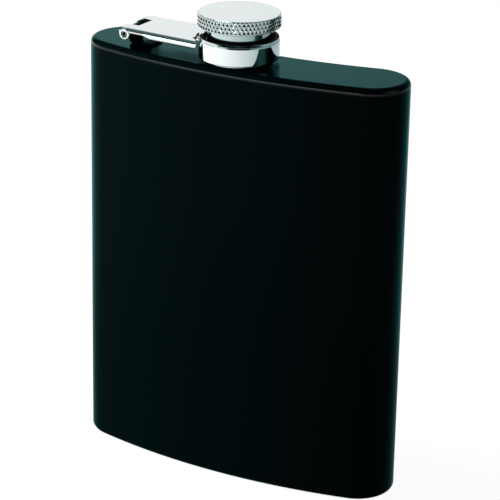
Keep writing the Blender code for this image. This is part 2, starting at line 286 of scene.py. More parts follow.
def put(name, grids, finish, body, slot, *nodes, sharp=SHARP):
    """Make one closed piece of grids of points, weld their edges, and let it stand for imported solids."""
    points = []
    faces = []
    start = 0
    for grid in grids:
        rows, cols = grid.shape[:2]
        first = (np.arange(rows - 1)[:, None] * cols + np.arange(cols - 1)).ravel() + start
        faces.append(np.stack([first, first + 1, first + cols + 1, first + cols], axis=1))
        points.append(grid.reshape(-1, 3))
        start += rows * cols
    mesh = bpy.data.meshes.new(name)
    mesh.from_pydata((np.concatenate(points) * MM).tolist(), [], np.concatenate(faces).tolist())
    work = bmesh.new()
    work.from_mesh(mesh)
    bmesh.ops.remove_doubles(work, verts=work.verts[:], dist=WELD * MM)
    bmesh.ops.recalc_face_normals(work, faces=work.faces[:])
    work.to_mesh(mesh)
    work.free()
    mesh.shade_smooth()
    mesh.set_sharp_from_angle(angle=math.radians(sharp))
    mesh.materials.append(finish)
    piece = bpy.data.objects.new(name, mesh)
    bpy.context.scene.collection.objects.link(piece)
    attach(piece, body)
    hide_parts(*nodes)
    return piece


def also(piece, finish, chosen):
    """Give a second finish to the faces whose centres, as x, y and z in millimetres, are chosen."""
    faces = piece.data.polygons
    centres = np.empty(3 * len(faces))
    faces.foreach_get("center", centres)
    x, y, z = centres.reshape(-1, 3).T / MM
    piece.data.materials.append(finish)
    faces.foreach_set("material_index", chosen(x, y, z).astype(np.int32))
    return piece


def eased(*points):
    """Line through (x, y, radius) corners.

    Each corner is turned by an arc of its radius, with a guard point on either side.
    """
    path = np.array(points, dtype=float)
    done = []
    for i in range(len(path)):
        here, radius = path[i, :2], path[i, 2]
        if radius == 0:
            done.append(here[None])
            continue
        back = path[i - 1, :2] - here
        on = path[(i + 1) % len(path), :2] - here
        back_unit = back / np.linalg.norm(back)
        on_unit = on / np.linalg.norm(on)
        half = math.acos(float(np.clip(back_unit @ on_unit, -1, 1))) / 2
        run = radius / math.tan(half)
        middle = back_unit + on_unit
        centre = here + middle / np.linalg.norm(middle) * radius / math.sin(half)
        first = here + back_unit * run - centre
        last = here + on_unit * run - centre
        turn = math.pi - 2 * half
        share = np.linspace(0, 1, EASE_STEPS + 1)[:, None]
        arc = (np.sin((1 - share) * turn) * first + np.sin(share * turn) * last) / math.sin(turn) + centre
        guard_in = here + back_unit * (run + GUARD)
        guard_out = here + on_unit * (run + GUARD)
        done.append(np.concatenate([guard_in[None], arc, guard_out[None]]))
    return np.concatenate(done)


def closed(line):
    """A line with its first point repeated at its end."""
    return np.concatenate([line, line[:1]])


def swept(profile, angle):
    """Carry (radius, height) points through angles about the neck: x = r cos a, y = r sin a, z = height."""
    radius, height = profile.T
    return np.stack([
        np.outer(radius, np.cos(angle)),
        np.outer(radius, np.sin(angle)),
        np.outer(height, np.ones_like(angle)),
    ], axis=-1)


def turned(profile, steps=TURN_STEPS):
    """Carry (radius, height) points once round the neck's axis."""
    return swept(profile, np.linspace(0, 2 * np.pi, steps + 1))


def wound(radius, turn, rows):
    """Points round the neck's axis at a radius given for each height of rows and share of a turn."""
    angle = 2 * np.pi * turn
    height = np.broadcast_to(rows, radius.shape)
    return np.stack([radius * np.cos(angle), radius * np.sin(angle), height], axis=-1)


def outline(inset):
    """Plan of the bent stadium: all points half the depth, less the inset, from the bent centre line."""
    half = BODY_DEPTH / 2 - inset
    reach = math.asin((BODY_WIDTH - BODY_DEPTH) / 2 / BEND_RADIUS)
    along = np.linspace(-reach, reach, BEND_STEPS + 1)
    round_end = np.linspace(0, np.pi, END_STEPS + 1)[1:-1]
    front = BEND_RADIUS + half
    back = BEND_RADIUS - half
    right = np.array([BEND_RADIUS * math.sin(reach), BEND_RADIUS * (1 - math.cos(reach))])
    left = right * (-1, 1)
    right_turn = round_end - np.pi / 2 + reach
    left_turn = round_end + np.pi / 2 - reach
    return closed(np.concatenate([
        np.stack([front * np.sin(along), BEND_RADIUS - front * np.cos(along)], axis=1),
        right + half * np.stack([np.cos(right_turn), np.sin(right_turn)], axis=1),
        np.stack([-back * np.sin(along), BEND_RADIUS - back * np.cos(along)], axis=1),
        left + half * np.stack([np.cos(left_turn), np.sin(left_turn)], axis=1),
    ]))


def level(loop, height):
    """A loop of the plan at a height."""
    return np.column_stack([loop, np.full(len(loop), height)])


def around(profile):
    """Carry a profile of (inset, height) points round the body's plan."""
    return np.stack([level(outline(inset), height) for inset, height in profile])


def towards_neck(loop, radius, share):
    """Move a loop a share of the way along rays from the neck's axis to a circle round it."""
    reach = np.linalg.norm(loop, axis=1)[:, None]
    return loop * (reach + (radius - reach) * share) / reach


def body_wrap(finish):
    """The rolled sheet: a wall of even thickness carried round the plan, from seam to seam."""
    profile = closed(np.array([
        (0.0, SEAM_LOW),
        (0.0, SEAM_HIGH),
        (BODY_WALL, SEAM_HIGH),
        (BODY_WALL, SEAM_LOW),
    ]))
    return put("rolled_wrap", [around(profile)], finish, "flask", "wrap", "body_wrap")


def end_profile(level_z, inward, seam):
    """Outer and inner line of an end plate, as (inset, height) points from its seam.

    Each is the skirt and then a quarter circle: inset = r (1 - cos t) and depth = r (1 - sin t).
    """
    turn = np.linspace(0, np.pi / 2, 2 * EASE_STEPS + 1)
    inner_round = SHOULDER_ROUND - BODY_WALL
    outer = np.stack([
        SHOULDER_ROUND * (1 - np.cos(turn)),
        level_z + inward * SHOULDER_ROUND * (1 - np.sin(turn)),
    ], axis=1)
    inner = np.stack([
        BODY_WALL + inner_round * (1 - np.cos(turn)),
        level_z + inward * (BODY_WALL + inner_round * (1 - np.sin(turn))),
    ], axis=1)
    return np.concatenate([[(0.0, seam)], outer]), np.concatenate([[(BODY_WALL, seam)], inner])


def end_plate(name, level_z, inward, seam, hole, finish, slot, node_name):
    """A pressed plate: skirt and edge carried round the plan, and flats drawn in to a hole or a point."""
    outer, inner = end_profile(level_z, inward, seam)
    rim = outline(SHOULDER_ROUND)
    under = level_z + inward * BODY_WALL
    flat = np.stack([level(towards_neck(rim, hole, share), level_z) for share in FLAT_SHARES])
    below = np.stack([level(towards_neck(rim, hole, share), under) for share in reversed(FLAT_SHARES)])
    shell = np.concatenate([around(outer), flat, below, around(inner[::-1]), around(outer[:1])])
    return put(name, [shell], finish, "flask", slot, node_name)


def threaded(radius, depth):
    """Rows of a right-hand thread: the radius swells by the depth once a pitch along z = pitch * turn.

    The thread fades in and out at its two ends.
    """
    rows = np.linspace(THREAD_LOW, THREAD_HIGH, THREAD_ROWS * THREAD_TURNS + 1)[:, None]
    turn = np.linspace(0, 1, TURN_STEPS + 1)[None]
    fade = np.clip(np.minimum(rows - THREAD_LOW, THREAD_HIGH - rows) / THREAD_FADE, 0, 1)
    phase = (rows - NECK_TOP + THREAD_LEAD_IN) / THREAD_PITCH - turn
    return wound(radius + depth * fade * (0.5 + 0.5 * np.cos(2 * np.pi * phase)), turn, rows)


def neck(finish):
    """The spout: foot, threaded outside, rolled lip and plain bore, turned about its axis."""
    below = eased(
        (NECK_BORE, NECK_BOTTOM, EDGE_SOFT),
        (SPIGOT_RADIUS, NECK_BOTTOM, EDGE_SOFT),
        (SPIGOT_RADIUS, FOOT_LOW, 0.0),
        (FOOT_RADIUS, FOOT_LOW, EDGE_PLAIN),
        (FOOT_RADIUS, FOOT_HIGH, EDGE_PLAIN),
        (NECK_RADIUS, FOOT_HIGH, 0.0),
        (NECK_RADIUS, THREAD_LOW, 0.0),
    )
    above = eased(
        (NECK_RADIUS, THREAD_HIGH, 0.0),
        (NECK_RADIUS, NECK_TOP, EDGE_BROAD),
        (NECK_BORE, NECK_TOP, NECK_LIP),
        (NECK_BORE, BORE_END, 0.0),
    )
    rows = [turned(below), threaded(NECK_RADIUS, THREAD_DEPTH), turned(above), turned(below[:1])]
    return put("threaded_neck", [np.concatenate(rows)], finish, "flask", "neck", "neck")


def neck_collar(finish):
    """The plated cup round the neck, turned from a profile; the ring rests a hair above its rim."""
    floor = COLLAR_LOW + COLLAR_FLOOR
    rim = RING_LOW - RIM_GAP
    profile = closed(eased(
        (COLLAR_HOLE, COLLAR_LOW, EDGE_FINE),
        (COLLAR_RADIUS, COLLAR_LOW, EDGE_BROAD),
        (COLLAR_RADIUS, rim - RIM_TAPER[1], EDGE_FINE),
        (COLLAR_RADIUS - RIM_TAPER[0], rim, RIM_EASE),
        (COLLAR_BORE, rim, EDGE_SOFT),
        (COLLAR_BORE, floor, EDGE_SOFT),
        (COLLAR_HOLE, floor, EDGE_FINE),
    ))
    return put("plated_collar", [turned(profile)], finish, "flask", "collar", "neck_collar")


def knurled_band():
    """Diamond knurl: two crossing families of V grooves, blunt between them.

    The lower of two triangle waves, which climb in opposite directions, sets the height.
    """
    rows = np.linspace(KNURL_LOW, KNURL_HIGH, KNURL_ROWS + 1)[:, None]
    turn = np.linspace(0, 1, KNURL_STEPS + 1)[None]
    climb = (rows - KNURL_HIGH) / KNURL_PERIOD
    left = (KNURL_TEETH * turn + climb) % 1.0
    right = (KNURL_TEETH * turn - climb) % 1.0
    height = np.minimum(1 - 2 * np.abs(left - 0.5), 1 - 2 * np.abs(right - 0.5))
    reach = CROWN_RADIUS - KNURL_DEPTH * (1 - np.minimum(1.0, height * KNURL_BLUNT))
    return wound(reach, turn, rows)


def cap_crown(finish, inside):
    """The grip: flat top with an eased rim, knurled band, and the hollow that takes the sleeve, unplated and
    darkened as painted shade.
    """
    root = CROWN_RADIUS - KNURL_DEPTH
    top = eased(
        (0.0, CROWN_TOP, 0.0),
        (CROWN_RADIUS - CROWN_INSET, CROWN_TOP, EDGE_FINE),
        (root, CROWN_TOP - KNURL_CHAMFER, 0.0),
    )
    bottom = eased(
        (root, CROWN_LOW + KNURL_CHAMFER, 0.0),
        (root, CROWN_LOW, EDGE_SOFT),
        (CROWN_BORE, CROWN_LOW, EDGE_SOFT),
        (CROWN_BORE, CROWN_CEILING, CROWN_CORNER),
        (0.0, CROWN_CEILING, 0.0),
    )
    rows = np.concatenate([turned(top, KNURL_STEPS), knurled_band()[::-1], turned(bottom, KNURL_STEPS)])
    crown = put("knurled_crown", [rows], finish, "cap", "crown", "cap_crown", sharp=KNURL_SHARP)

    def hollow(x, y, z):
        """Faces inside the grip and below its top, darkened as painted shade."""
        return (np.hypot(x, y) < root - HOLLOW_INSET) & (z < CROWN_TOP - HOLLOW_DEPTH)

    return also(crown, inside, hollow)


def cap_sleeve(finish):
    """The sleeve that runs through the ring: plain outside, flange below, thread inside."""
    flange_top = SLEEVE_LOW + FLANGE_HEIGHT
    outside = eased(
        (SLEEVE_BORE, SLEEVE_TOP, EDGE_FINE),
        (SLEEVE_RADIUS, SLEEVE_TOP, EDGE_SOFT),
        (SLEEVE_RADIUS, flange_top, EDGE_PLAIN),
        (FLANGE_RADIUS, flange_top, EDGE_PLAIN),
        (FLANGE_RADIUS, SLEEVE_LOW, EDGE_PLAIN),
        (SLEEVE_RELIEF, SLEEVE_LOW, EDGE_FINE),
        (SLEEVE_RELIEF, THREAD_LOW - FLANGE_HEIGHT, 0.0),
        (SLEEVE_BORE, THREAD_LOW - SLEEVE_LEAD_IN, 0.0),
    )
    rows = [turned(outside), threaded(SLEEVE_BORE, SLEEVE_THREAD), turned(outside[:1])]
    return put("threaded_sleeve", [np.concatenate(rows)], finish, "cap", "sleeve", "cap_sleeve")


def cap_pad(finish):
    """The sealing disc, with the shallow ring that the mouth has pressed into it."""
    edge = eased(
        (NECK_BORE - PAD_MARK_RUN, PAD_LOW, EDGE_SOFT),
        (NECK_BORE, PAD_LOW + PAD_MARK, EDGE_SOFT),
        (NECK_RADIUS, PAD_LOW + PAD_MARK, EDGE_SOFT),
        (NECK_RADIUS + PAD_MARK_RUN, PAD_LOW, EDGE_FINE),
        (PAD_RADIUS, PAD_LOW, EDGE_BROAD),
        (PAD_RADIUS, PAD_TOP, EDGE_BROAD),
    )
    profile = np.concatenate([[(0.0, PAD_LOW)], edge, [(0.0, PAD_TOP)]])
    return put("sealing_pad", [turned(profile)], finish, "seal", "pad", "cap_pad")


def yawed(grid):
    """Turn points that are drawn along -X about the neck's axis, to where the hinge lies."""
    x, y, z = np.moveaxis(grid, -1, 0)
    along = x * math.cos(YAW) + y * math.sin(YAW)
    across = y * math.cos(YAW) - x * math.sin(YAW)
    return np.stack([along, across, z], axis=-1)


def on_pin(profile):
    """Turn (radius, y) points about the hinge pin: x = r cos a and z = r sin a from its axis."""
    angle = np.linspace(0, 2 * np.pi, PIN_STEPS + 1)
    radius, along = profile.T
    return np.stack([
        PIN_X + np.outer(radius, np.cos(angle)),
        np.outer(along, np.ones_like(angle)),
        PIN_Z + np.outer(radius, np.sin(angle)),
    ], axis=-1)


def hinge_pin(finish, inside):
    """The riveted pin: a bar whose drilled ends are spread into a low rim."""
    reach = KNUCKLE_REACH - PIN_INSET
    half = eased(
        (0.0, reach - DRILL_DEPTH, 0.0),
        (DRILL_FLOOR, reach - DRILL_DEPTH, EDGE_FINE),
        (DRILL_MOUTH, reach, RIM_EASE),
        (PIN_RADIUS, reach - PIN_DOME, PIN_EASE),
        (PIN_RADIUS, 0.0, 0.0),
    )
    profile = np.concatenate([half, half[-2::-1] * (1, -1)])
    pin = put("riveted_pin", [yawed(on_pin(profile))], finish, "arm", "pin", "hinge_pin")

    def drilled(x, y, z):
        """Faces in the holes of the two ends, darkened as painted shade."""
        across = (x - PIN_PLACE[0]) * math.cos(YAW) - (y - PIN_PLACE[1]) * math.sin(YAW)
        return np.hypot(across, z - PIN_Z) < DRILL_EDGE

    return also(pin, inside, drilled)


def hinge_strap(finish):
    """The fixed strap: a barrel rolled round the pin, and a ribbon down to the top plate and along it.

    The ribbon is an L of even thickness in the XZ plane, carried across the strap, thinner at its edges.
    """
    barrel = closed(eased(
        (PIN_HOLE, -STRAP_HALF, EDGE_FINE),
        (KNUCKLE_RADIUS, -STRAP_HALF, EDGE_PLAIN),
        (KNUCKLE_RADIUS, STRAP_HALF, EDGE_PLAIN),
        (PIN_HOLE, STRAP_HALF, EDGE_FINE),
    ))
    lip = closed(eased(
        (PIN_HOLE, LIP_START, EDGE_FINE),
        (LIP_RADIUS, LIP_START, EDGE_SOFT),
        (LIP_RADIUS, STRAP_HALF - GUARD, EDGE_SOFT),
        (PIN_HOLE, STRAP_HALF - GUARD, EDGE_FINE),
    ))
    side = STRAP_HALF - STRAP_INSET
    flat = side - STRAP_EDGE
    low = BODY_TOP + GUARD
    back = PIN_X - KNUCKLE_RADIUS + STRAP_SETBACK
    end = PIN_X + STRAP_LEAF
    rows = []
    for y, inset in ((-side, STRAP_EDGE), (-flat, 0.0), (flat, 0.0), (side, STRAP_EDGE)):
        line = closed(eased(
            (end, low + inset, 0.0),
            (back + inset, low + inset, STRAP_FOLD),
            (back + inset, PIN_Z, 0.0),
            (back + SHEET - inset, PIN_Z, 0.0),
            (back + SHEET - inset, low + SHEET - inset, STRAP_FOLD_INSIDE),
            (end, low + SHEET - inset, 0.0),
        ))
        rows.append(np.column_stack([line[:, 0], np.full(len(line), y), line[:, 1]]))
    ribbon = np.stack(rows)
    half = ribbon.shape[1] // 2
    sides = [np.stack([row[:half], row[2 * half - 1:half - 1:-1]]) for row in (ribbon[0], ribbon[-1])]
    grids = [yawed(grid) for grid in (on_pin(barrel), on_pin(lip), ribbon, *sides)]
    return put("brazed_strap", grids, finish, "flask", "strap", "hinge_strap")


def arm_lines(half):
    """Outer and inner line of the channel's section, from one flange's foot over the plate to the other's.

    Both have as many (y, z) points, so that the sheet's thickness lies between points of one index.
    """
    turn = np.linspace(0, np.pi / 2, FOLD_COLUMNS)
    curl = np.radians(np.linspace(CURL_TURN, 0, CURL_COLUMNS))
    hub = ARM_TOP - ARM_FLANGE + ARM_CURL * math.sin(curl[0])
    bend_inside = ARM_BEND - SHEET
    outer_bend = np.stack([
        -half + ARM_BEND * (1 - np.cos(turn)),
        ARM_TOP - ARM_BEND * (1 - np.sin(turn)),
    ], axis=1)
    inner_bend = np.stack([
        -half + ARM_BEND - bend_inside * np.cos(turn),
        ARM_TOP - ARM_BEND + bend_inside * np.sin(turn),
    ], axis=1)
    flat = np.linspace(-half + ARM_BEND + GUARD, -NOTCH_HALF, FLAT_COLUMNS)

    def line(curl_radius, bend, height):
        """One side's rolled foot, bend and flat, and then the same mirrored."""
        across = -half + ARM_CURL - curl_radius * np.cos(curl)
        foot = np.stack([across, hub - curl_radius * np.sin(curl)], axis=1)
        left = np.concatenate([foot, bend, np.stack([flat, np.full(FLAT_COLUMNS, height)], axis=1)])
        return np.concatenate([left, left[::-1] * (-1, 1)])

    return line(ARM_CURL, outer_bend, ARM_TOP), line(ARM_CURL - SHEET, inner_bend, ARM_TOP - SHEET)


def arm_fibres(at_pin, at_ring, x):
    """Points of a section line, spread between its two ends by how far along the arm each point lies.

    The feet of the flanges are lifted near the pin, where the flanges are lower.
    """
    far = -math.sqrt(ARM_CUT ** 2 - ARM_HALF_AT_RING ** 2)
    share = np.clip((x - ARM_LEFT) / (far - ARM_LEFT), 0, 1)
    y = at_pin[None, :, 0] * (1 - share) + at_ring[None, :, 0] * share
    grown = np.clip((x - PIN_X - FLANGE_GROWS[0]) / (FLANGE_GROWS[1] - FLANGE_GROWS[0]), 0, 1)
    lift = (ARM_FLANGE - ARM_FLANGE_AT_PIN) * (1 - grown * grown * (3 - 2 * grown))
    feet = at_pin[None, :, 1] < ARM_TOP - ARM_BEND - GUARD
    z = at_pin[None, :, 1] + feet * lift
    return np.stack([x, y, z], axis=-1)


def arm_channel():
    """Grids of the bent sheet: the plate with its flanges, and a tab on either side of the notch.

    The plate's end is cut along a circle round the collar, and the ends of its flanges slant back.
    """
    outer_pin, inner_pin = arm_lines(ARM_HALF_AT_PIN)
    outer_ring, inner_ring = arm_lines(ARM_HALF_AT_RING)
    share = np.linspace(0, 1, ARM_ROWS + 1)[:, None]
    end = -np.sqrt(ARM_CUT ** 2 - np.clip(outer_ring[None, :, 0], -ARM_CUT, ARM_CUT) ** 2)
    end = end - FLANGE_SLANT * (ARM_TOP - outer_ring[None, :, 1])
    plate_x = NOTCH_END * (1 - share) + end * share
    outer = arm_fibres(outer_pin, outer_ring, plate_x)
    inner = arm_fibres(inner_pin, inner_ring, plate_x)
    half = len(outer_pin) // 2
    middle = slice(half - 1, half + 1)
    grids = [
        outer,
        inner,
        np.stack([outer[-1], inner[-1]]),
        np.stack([outer[:, 0], inner[:, 0]]),
        np.stack([outer[:, -1], inner[:, -1]]),
        np.stack([outer[0, middle], inner[0, middle]]),
    ]
    tab_x = np.broadcast_to(np.linspace(ARM_LEFT, NOTCH_END, TAB_ROWS)[:, None], (TAB_ROWS, half))
    for part in (slice(0, half), slice(half, None)):
        over = arm_fibres(outer_pin[part], outer_ring[part], tab_x)
        under = arm_fibres(inner_pin[part], inner_ring[part], tab_x)
        grids += [
            over,
            under,
            np.stack([over[0], under[0]]),
            np.stack([over[:, 0], under[:, 0]]),
            np.stack([over[:, -1], under[:, -1]]),
        ]
    return grids


def arm_knuckles():
    """Grids of the two barrels under the tabs, turned about the pin."""
    return [on_pin(closed(eased(
        (PIN_HOLE, side * NOTCH_HALF, EDGE_FINE),
        (KNUCKLE_RADIUS, side * NOTCH_HALF, EDGE_PLAIN),
        (KNUCKLE_RADIUS, side * KNUCKLE_REACH, KNUCKLE_END),
        (PIN_HOLE, side * KNUCKLE_REACH, EDGE_PLAIN),
    ))) for side in (-1, 1)]


def arm_ring():
    """Grid of the ring round the sleeve, turned from a section with a low crown on its upper face."""
    outside = RING_RADIUS - RIM_TAPER[0]
    return turned(closed(eased(
        (RING_BORE, RING_LOW, EDGE_FINE),
        (outside, RING_LOW, RING_EASE),
        (outside - RING_LEAN, RING_TOP - RING_DROP, EDGE_FINE),
        ((RING_BORE + RING_RADIUS) / 2, RING_TOP, RING_CROWN),
        (RING_BORE, RING_TOP - RING_DROP, EDGE_FINE),
    )))


def arm_step():
    """Grids of the step from plate to ring: a bent section swept through a sector, and its bulging sides."""
    over_ring = RING_TOP - STEP_SINK
    under_ring = RING_LOW + STEP_SINK
    over_plate = ARM_TOP - STEP_SINK
    under_plate = ARM_TOP - SHEET + STEP_SINK
    section = closed(eased(
        (RING_RADIUS - STEP_LAP, over_ring, 0.0),
        (RING_RADIUS + STEP_BEND, over_ring, STEP_EASE),
        (STEP_FOOT + STEP_RUN, over_plate, STEP_EASE),
        (STEP_END, over_plate, 0.0),
        (STEP_END, under_plate, 0.0),
        (STEP_FOOT + STEP_RUN / 2, under_plate, EDGE_SOFT),
        (STEP_FOOT, under_ring, EDGE_SOFT),
        (RING_RADIUS - STEP_LAP, under_ring, 0.0),
    ))
    reach = math.radians(STEP_REACH)
    angle = np.pi + np.linspace(-reach, reach, STEP_COLUMNS)
    sector = swept(section, angle)
    grids = [sector]
    for end, side in ((0, -1), (-1, 1)):
        edge = sector[:, end]
        bulge = side * STEP_BULGE * np.array([-math.sin(angle[end]), math.cos(angle[end]), 0])
        grids.append(np.stack([edge, np.broadcast_to(edge.mean(0) + bulge, edge.shape)]))
    return grids


def cap_arm(finish, ring_shade):
    """The swinging arm: a channel of bent sheet, a knuckle under each tab, the sleeve's ring and a step."""
    grids = [*arm_channel(), *arm_knuckles(), arm_ring(), *arm_step()]
    arm = put("hinged_arm", [yawed(grid) for grid in grids], finish, "arm", "arm", "cap_arm")

    def shaded_ring_top(x, y, z):
        """Faces of the ring's top under the crown, painted near black as shade, apart from the root of the
        arm.
        """
        inside = np.hypot(x, y) < RING_RADIUS - RING_SHADE_INSET
        return inside & (z > RING_LOW + RING_SHADE_RISE) & (x > ROOT_EDGE)

    # The ring's top under the crown gets a near-black finish as painted shade
    return also(arm, ring_shade, shaded_ring_top)


def satin_black():
    """Satin black powder coat: hardly any colour, a fine orange peel, and a sea-green gleam at low angles.

    Hands and pockets have rubbed it glossier along the shoulder, within RUB_WIDTH of the middle of the rub.
    """
    made, tree, shader, place = new_material("satin_black_powder_coat")
    shader.inputs["Base Color"].default_value = linear("#031415")
    shader.inputs["Specular IOR Level"].default_value = 0.01
    shader.inputs["Specular Tint"].default_value = linear("#BCD8D8")
    shader.inputs["Coat Roughness"].default_value = 0.16
    height = node(tree, "ShaderNodeSeparateXYZ", [(0, place)])
    apart = node(tree, "ShaderNodeMath", [(0, height.outputs["Z"])], operation="SUBTRACT")
    apart.inputs[1].default_value = (BODY_TOP - RUB_DEPTH) * MM
    apart = node(tree, "ShaderNodeMath", [(0, apart.outputs[0])], operation="ABSOLUTE")
    rubbed = node(tree, "ShaderNodeMapRange", [("Value", apart.outputs[0])],
                  interpolation_type="SMOOTHSTEP", in_From_Max=RUB_WIDTH * MM,
                  in_To_Min=0.65, in_To_Max=0.012)
    low_angle = node(tree, "ShaderNodeLayerWeight", in_Blend=0.5)
    gleam = node(tree, "ShaderNodeMapRange", [("Value", low_angle.outputs["Facing"])],
                 in_From_Min=0.4, in_From_Max=0.6)
    peel = node(tree, "ShaderNodeTexNoise", [("Vector", place)], in_Scale=1 / (0.7 * MM), in_Detail=3.0)
    rough = node(tree, "ShaderNodeMapRange", [("Value", peel.outputs["Fac"])],
                 in_To_Min=0.17, in_To_Max=0.24)
    bump = node(tree, "ShaderNodeBump", [("Height", peel.outputs["Fac"])],
                in_Strength=0.12, in_Distance=0.02 * MM)
    tree.links.new(rubbed.outputs["Result"], shader.inputs["Coat Weight"])
    tree.links.new(gleam.outputs["Result"], shader.inputs["Metallic"])
    tree.links.new(rough.outputs["Result"], shader.inputs["Roughness"])
    tree.links.new(bump.outputs["Normal"], shader.inputs["Normal"])
    return made


def bright_chromium():
    """Bright chromium plate on pressed steel: a mirror with a slight ripple and a faint polishing haze."""
    made, tree, shader, place = new_material("bright_chromium")
    shader.inputs["Base Color"].default_value = linear("#E0E8E8")
    shader.inputs["Metallic"].default_value = 1.0
    haze = node(tree, "ShaderNodeTexNoise", [("Vector", place)], in_Scale=1 / (0.4 * MM), in_Detail=4.0)
    rough = node(tree, "ShaderNodeMapRange", [("Value", haze.outputs["Fac"])],
                 in_To_Min=0.01, in_To_Max=0.035)
    wave = node(tree, "ShaderNodeTexNoise", [("Vector", place)], in_Scale=1 / (2.5 * MM), in_Detail=1.0)
    bump = node(tree, "ShaderNodeBump", [("Height", wave.outputs["Fac"])],
                in_Strength=0.25, in_Distance=0.05 * MM)
    tree.links.new(rough.outputs["Result"], shader.inputs["Roughness"])
    tree.links.new(bump.outputs["Normal"], shader.inputs["Normal"])
    return made


def satin_nickel():
    """Satin nickel plate on a turned sleeve: a soft grey reflection with a faint grain."""
    made, tree, shader, place = new_material("satin_nickel")
    shader.inputs["Base Color"].default_value = linear("#B4C4C4")
    shader.inputs["Metallic"].default_value = 1.0
    grain = node(tree, "ShaderNodeTexNoise", [("Vector", place)], in_Scale=1 / (0.6 * MM), in_Detail=2.0)
    rough = node(tree, "ShaderNodeMapRange", [("Value", grain.outputs["Fac"])],
                 in_To_Min=0.08, in_To_Max=0.15)
    bump = node(tree, "ShaderNodeBump", [("Height", grain.outputs["Fac"])],
                in_Strength=0.1, in_Distance=0.02 * MM)
    tree.links.new(rough.outputs["Result"], shader.inputs["Roughness"])
    tree.links.new(bump.outputs["Normal"], shader.inputs["Normal"])
    return made


def turned_steel():
    """Turned stainless steel: fine circular tool marks and a soft grey reflection."""
    made, tree, shader, place = new_material("turned_stainless_steel")
    shader.inputs["Base Color"].default_value = linear("#C2C4C2")
    shader.inputs["Metallic"].default_value = 1.0
    marks = node(tree, "ShaderNodeTexWave", [("Vector", place)], bands_direction="Z",
                 in_Scale=1 / (0.9 * MM), in_Distortion=0.6, in_Detail=2.0)
    rough = node(tree, "ShaderNodeMapRange", [("Value", marks.outputs["Fac"])],
                 in_To_Min=0.2, in_To_Max=0.32)
    bump = node(tree, "ShaderNodeBump", [("Height", marks.outputs["Fac"])],
                in_Strength=0.2, in_Distance=0.02 * MM)
    tree.links.new(rough.outputs["Result"], shader.inputs["Roughness"])
    tree.links.new(bump.outputs["Normal"], shader.inputs["Normal"])
    return made


def ring_shade_finish():
    """Painted shade: a matt, nearly black finish on the ring's top under the crown, where the gap lies in
    shade.
    """
    made, tree, shader, place = new_material("ring_painted_shade_black")
    shader.inputs["Base Color"].default_value = linear("#030606")
    shader.inputs["Specular IOR Level"].default_value = 0.05
    grain = node(tree, "ShaderNodeTexNoise", [("Vector", place)], in_Scale=1 / (0.3 * MM), in_Detail=2.0)
    rough = node(tree, "ShaderNodeMapRange", [("Value", grain.outputs["Fac"])],
                 in_To_Min=0.5, in_To_Max=0.7)
    tree.links.new(rough.outputs["Result"], shader.inputs["Roughness"])
    return made


def unplated_shade_steel():
    """Pressed or drilled steel that the plating hardly reached: dull dark grey with a blotchy haze. Its dark
    grey is also painted shade in the crown's hollow and the pin's drilled ends.
    """
    made, tree, shader, place = new_material("unplated_shade_steel")
    shader.inputs["Base Color"].default_value = linear("#2C3232")
    shader.inputs["Metallic"].default_value = 1.0
    blotch = node(tree, "ShaderNodeTexNoise", [("Vector", place)], in_Scale=1 / (1.2 * MM), in_Detail=3.0)
    rough = node(tree, "ShaderNodeMapRange", [("Value", blotch.outputs["Fac"])],
                 in_To_Min=0.4, in_To_Max=0.6)
    tree.links.new(rough.outputs["Result"], shader.inputs["Roughness"])
    return made


def milky_silicone():
    """Moulded silicone rubber: milky, a little see-through at its edges, with a dull bloom."""
    made, tree, shader, place = new_material("milky_silicone")
    bloom = node(tree, "ShaderNodeTexNoise", [("Vector", place)], in_Scale=1 / (1.5 * MM), in_Detail=3.0)
    tone = node(tree, "ShaderNodeMix", [("Factor", bloom.outputs["Fac"])], data_type="RGBA")
    tone.inputs[MIX_FIRST].default_value = linear("#D9D8D0")
    tone.inputs[MIX_SECOND].default_value = linear("#E6E5DF")
    tree.links.new(tone.outputs[MIX_RESULT], shader.inputs["Base Color"])
    shader.inputs["Roughness"].default_value = 0.5
    shader.inputs["Subsurface Weight"].default_value = 0.3
    shader.inputs["Subsurface Radius"].default_value = (0.8 * MM, 0.8 * MM, 0.7 * MM)
    shader.inputs["Subsurface Scale"].default_value = 1.0
    return made


def build():
    """Every piece of the flask, with its finish, on its body."""
    black = satin_black()
    plate = bright_chromium()
    steel = turned_steel()
    bare_and_shaded = unplated_shade_steel()
    body_wrap(black)
    end_plate("pressed_top", BODY_TOP, -1, SEAM_HIGH, NECK_HOLE, black, "top", "top_plate")
    end_plate("pressed_base", 0.0, 1, SEAM_LOW, BASE_POINT, black, "base", "base_plate")
    neck(steel)
    neck_collar(plate)
    hinge_strap(black)
    cap_arm(plate, ring_shade_finish())
    hinge_pin(steel, bare_and_shaded)
    cap_crown(plate, bare_and_shaded)
    cap_sleeve(satin_nickel())
    cap_pad(milky_silicone())


# Camera, fitted to the outline of the body and the cap
CAMERA_AZIMUTH = 28.837
CAMERA_ELEVATION = 21.114
CAMERA_ROLL = 1.137
CAMERA_DISTANCE = 632.9
CAMERA_TARGET = (4.555, 0.0, 64.389)
CAMERA_LENS = 167.13

